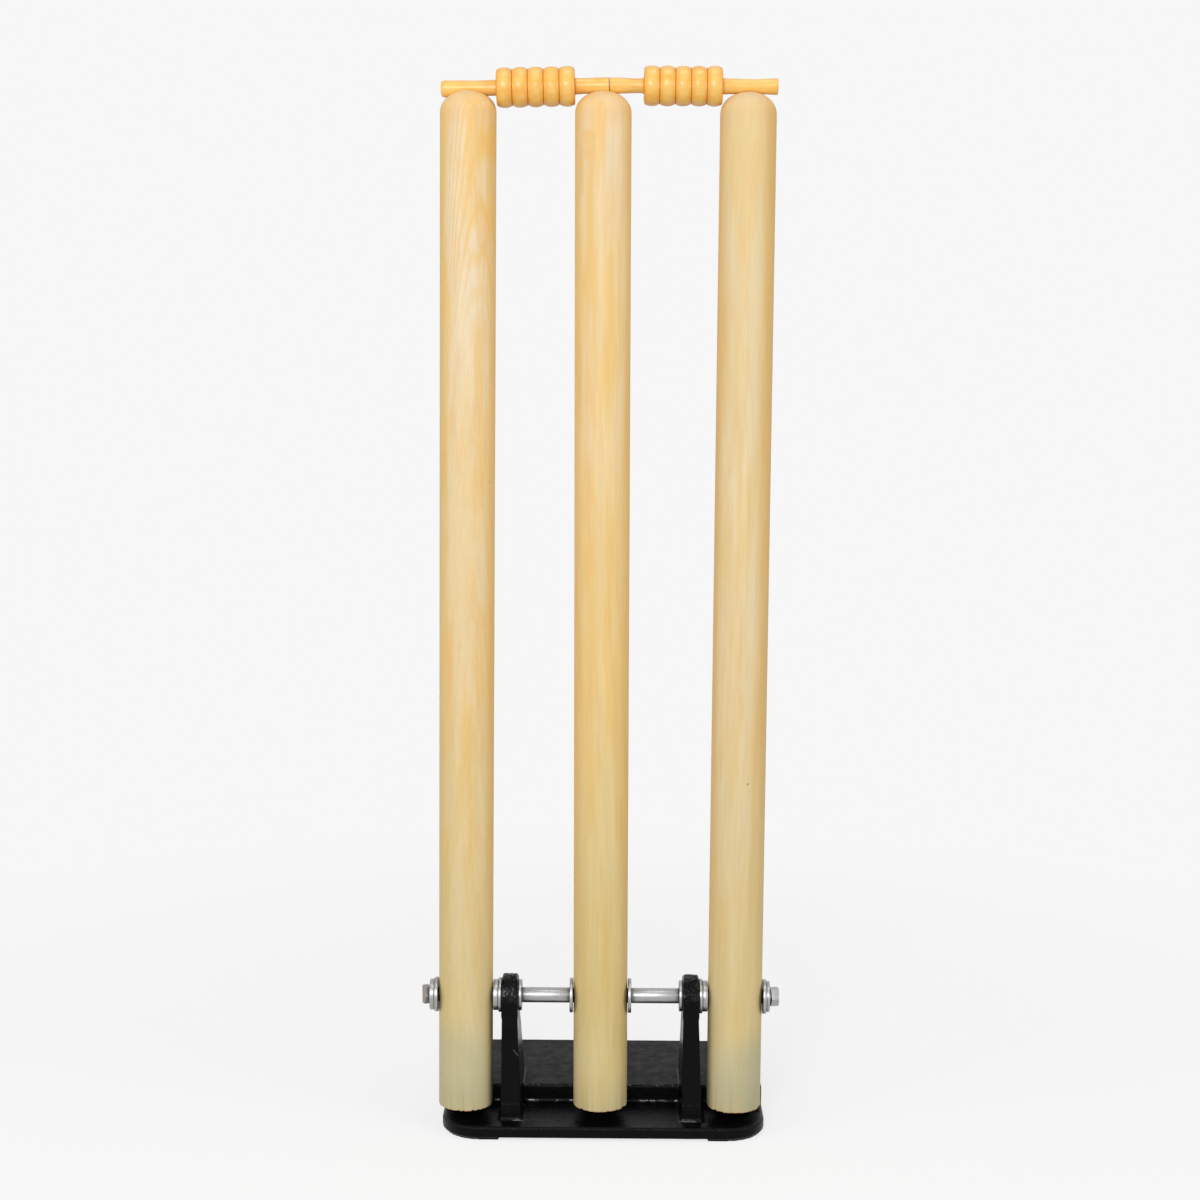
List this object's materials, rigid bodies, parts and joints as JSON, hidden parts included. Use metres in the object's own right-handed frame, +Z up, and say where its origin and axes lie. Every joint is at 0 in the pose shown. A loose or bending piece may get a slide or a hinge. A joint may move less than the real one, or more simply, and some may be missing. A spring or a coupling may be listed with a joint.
{
  "type": "cricket stumps",
  "caption": "Free-standing spring-back wicket: domed wooden stumps pivot on a long bolt between the uprights of a black cast base, with turned bails across their tops.",
  "frame": {"origin": "on the floor, under the middle of the base's depth and of the axle's length", "axes": "+Z up along the stumps, +X along the axle to the right as the bowler sees it, +Y away from the bowler"},
  "size_m": [0.2524, 0.1526, 0.7424],
  "materials": {
    "black_enamel": "glossy black enamel over a cast surface",
    "zinc_plate": "bright zinc plate",
    "yellow_zinc": "yellowed zinc plate",
    "spring_steel": "black oxide",
    "pale_wood": "clear satin varnish",
    "lacquered_wood": "clear gloss lacquer"
  },
  "bodies": {
    "base": {"base_casting": "black_enamel", "axle_bolt": "yellow_zinc", "axle_nut": "zinc_plate", "washer_left_middle_stump": "zinc_plate", "washer_left_upright_inner": "zinc_plate", "washer_left_upright_outer": "zinc_plate", "washer_left_stump_inner": "zinc_plate", "washer_left_stump_outer": "zinc_plate", "washer_left_end": "zinc_plate", "spacer_tube_left": "zinc_plate", "washer_right_middle_stump": "zinc_plate", "washer_right_upright_inner": "zinc_plate", "washer_right_upright_outer": "zinc_plate", "washer_right_stump_inner": "zinc_plate", "washer_right_stump_outer": "zinc_plate", "washer_right_end": "zinc_plate", "spacer_tube_right": "zinc_plate", "pivot_sleeve_left": "zinc_plate", "pivot_sleeve_middle": "zinc_plate", "pivot_sleeve_right": "zinc_plate", "spring_anchor_left": "zinc_plate", "spring_anchor_middle": "zinc_plate", "spring_anchor_right": "zinc_plate", "return_spring_left": "spring_steel", "return_spring_middle": "spring_steel", "return_spring_right": "spring_steel"},
    "stump_left": {"stump_left": "pale_wood", "stump_eye_left": "zinc_plate"},
    "stump_middle": {"stump_middle": "pale_wood", "stump_eye_middle": "zinc_plate"},
    "stump_right": {"stump_right": "pale_wood", "stump_eye_right": "zinc_plate"},
    "bail_left": {"bail_left": "lacquered_wood"},
    "bail_right": {"bail_right": "lacquered_wood"}
  },
  "joints": [
    {"name": "stump_left_pivot", "type": "hinge", "parent": "base", "child": "stump_left", "pos_m": [-0.09525, -0.0488, 0.0976], "axis": [-1, 0, 0], "range_deg": [0, 45], "stiffness_Nm_per_rad": 4.3, "springref_deg": -11.46, "deforming": ["return_spring_left"]},
    {"name": "stump_middle_pivot", "type": "hinge", "parent": "base", "child": "stump_middle", "pos_m": [0, -0.0488, 0.0976], "axis": [-1, 0, 0], "range_deg": [0, 45], "stiffness_Nm_per_rad": 4.3, "springref_deg": -11.46, "deforming": ["return_spring_middle"]},
    {"name": "stump_right_pivot", "type": "hinge", "parent": "base", "child": "stump_right", "pos_m": [0.09525, -0.0488, 0.0976], "axis": [-1, 0, 0], "range_deg": [0, 45], "stiffness_Nm_per_rad": 4.3, "springref_deg": -11.46, "deforming": ["return_spring_right"]},
    {"name": "bail_left_lift", "type": "slide", "parent": "stump_left", "child": "bail_left", "axis": [0, 0, 1], "range_m": [0, 0.05]},
    {"name": "bail_right_lift", "type": "slide", "parent": "stump_right", "child": "bail_right", "axis": [0, 0, 1], "range_m": [0, 0.05]}
  ]
}
